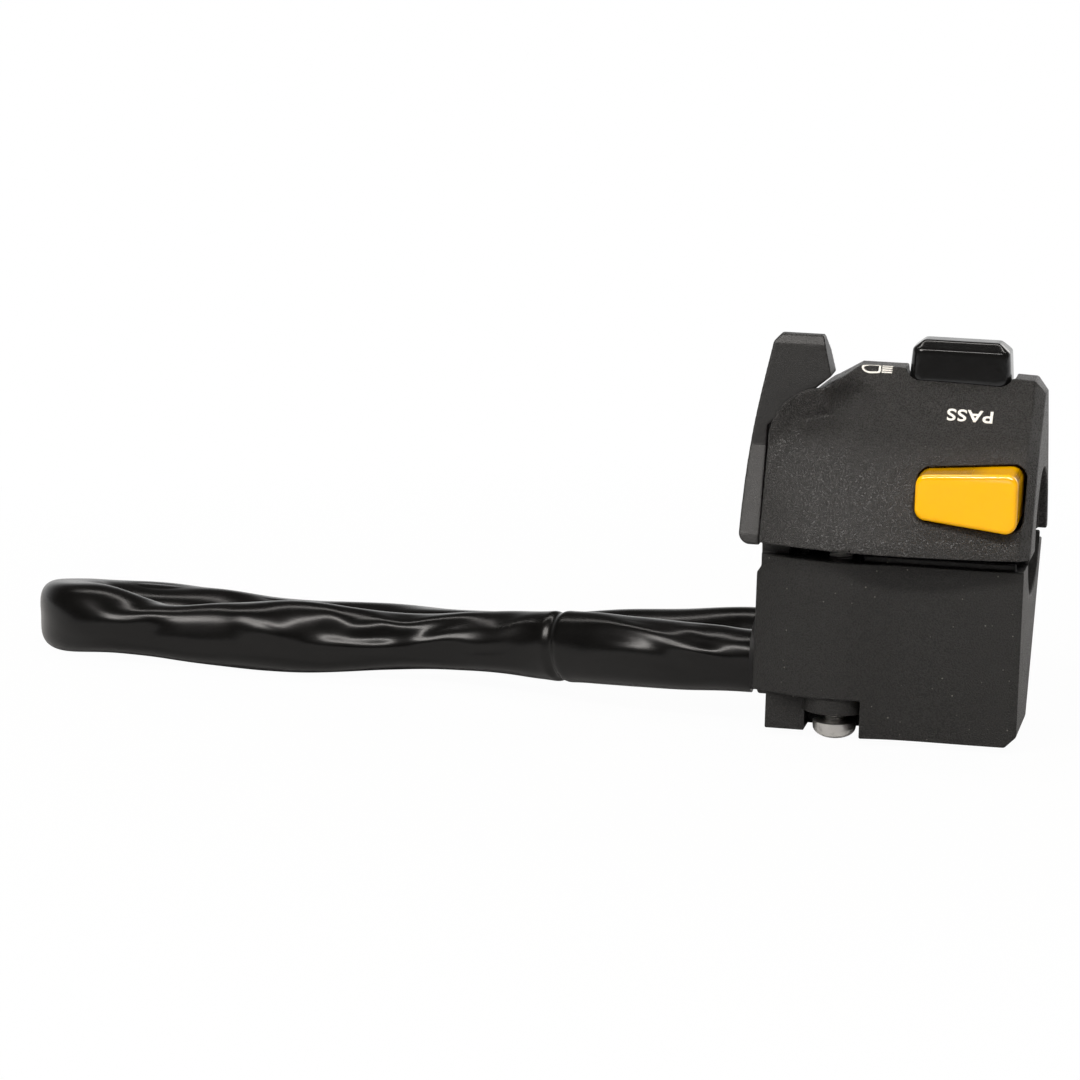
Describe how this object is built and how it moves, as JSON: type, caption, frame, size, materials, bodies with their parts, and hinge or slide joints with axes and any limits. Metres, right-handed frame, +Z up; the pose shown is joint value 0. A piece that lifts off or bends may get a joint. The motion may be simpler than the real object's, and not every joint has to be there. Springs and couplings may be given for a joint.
{
  "type": "handlebar switch cluster",
  "caption": "Left-hand motorcycle handlebar switch cluster: two-part clamping housing, choke lever, pass trigger, dimmer rocker, turn and horn controls, sleeved harness.",
  "frame": {"origin": "On the handlebar's axis, inside the clamping bore, in the middle of the lower housing's length", "axes": "+X along the handlebar toward the grip, -Y the bike's front, +Y the rider, +Z up"},
  "size_m": [0.2067, 0.0715, 0.0776],
  "materials": {
    "lower_shell": "fine-grained satin moulding, near black",
    "upper_shell": "fine-grained matte moulding, dark warm grey",
    "screw_steel": "dull plated steel",
    "lever_moulding": "fine-grained matte moulding, dark grey",
    "trigger_moulding": "glossy yellow-orange moulding",
    "pin_steel": "ground steel",
    "contact_moulding": "brown phenolic moulding",
    "spring_steel": "spring steel",
    "rocker_moulding": "polished black moulding",
    "slider_moulding": "satin black moulding",
    "button_moulding": "glossy black moulding",
    "harness_rubber": "soft black rubber",
    "harness_sleeving": "supple glossy black sleeving, wrinkled",
    "connector_moulding": "black connector moulding",
    "terminal_brass": "tinned brass blades"
  },
  "bodies": {
    "housing": {"lower_housing": "lower_shell", "upper_housing": "upper_shell", "case_screws": "screw_steel", "pass_trigger_pin": "pin_steel", "pass_contact_block": "contact_moulding", "pass_return_blade": "spring_steel", "dimmer_pivot_pin": "pin_steel", "dimmer_contact_block": "contact_moulding", "turn_contact_block": "contact_moulding", "horn_contact_block": "contact_moulding", "horn_return_spring": "spring_steel", "harness_grommet": "harness_rubber", "harness_sleeve": "harness_sleeving", "harness_wire_bundle": "harness_sleeving", "harness_connector": "connector_moulding", "connector_terminals": "terminal_brass"},
    "choke": {"choke_lever": "lever_moulding"},
    "trigger": {"pass_trigger": "trigger_moulding"},
    "dimmer": {"dimmer_rocker": "rocker_moulding", "dimmer_detent_ball": "pin_steel"},
    "turn_slider": {"turn_slide_plate": "slider_moulding"},
    "turn_knob": {"turn_signal_knob": "slider_moulding"},
    "horn": {"horn_button": "button_moulding"}
  },
  "joints": [
    {"name": "choke_turn", "type": "hinge", "parent": "housing", "child": "choke", "pos_m": [-0.0236, 0, 0], "axis": [-1, 0, 0], "range_deg": [0, 50]},
    {"name": "pass_press", "type": "hinge", "parent": "housing", "child": "trigger", "pos_m": [0.0069, -0.0139, 0.009], "axis": [0, 0, 1], "range_deg": [0, 4.5], "stiffness_Nm_per_rad": 0.6, "springref_deg": -4.58},
    {"name": "dimmer_rock", "type": "hinge", "parent": "housing", "child": "dimmer", "pos_m": [0.0104, 0, 0.024], "axis": [0, 1, 0], "range_deg": [-4.5, 4.5]},
    {"name": "turn_slide", "type": "slide", "parent": "housing", "child": "turn_slider", "axis": [1, 0, 0], "range_m": [-0.0035, 0.0035]},
    {"name": "turn_cancel", "type": "slide", "parent": "turn_slider", "child": "turn_knob", "axis": [0, -0.8655, 0.5009], "range_m": [0, 0.001], "stiffness_N_per_m": 400, "springref_m": -0.002},
    {"name": "horn_press", "type": "slide", "parent": "housing", "child": "horn", "axis": [0, -0.8655, 0.5009], "range_m": [0, 0.0025], "stiffness_N_per_m": 400, "springref_m": -0.003}
  ]
}
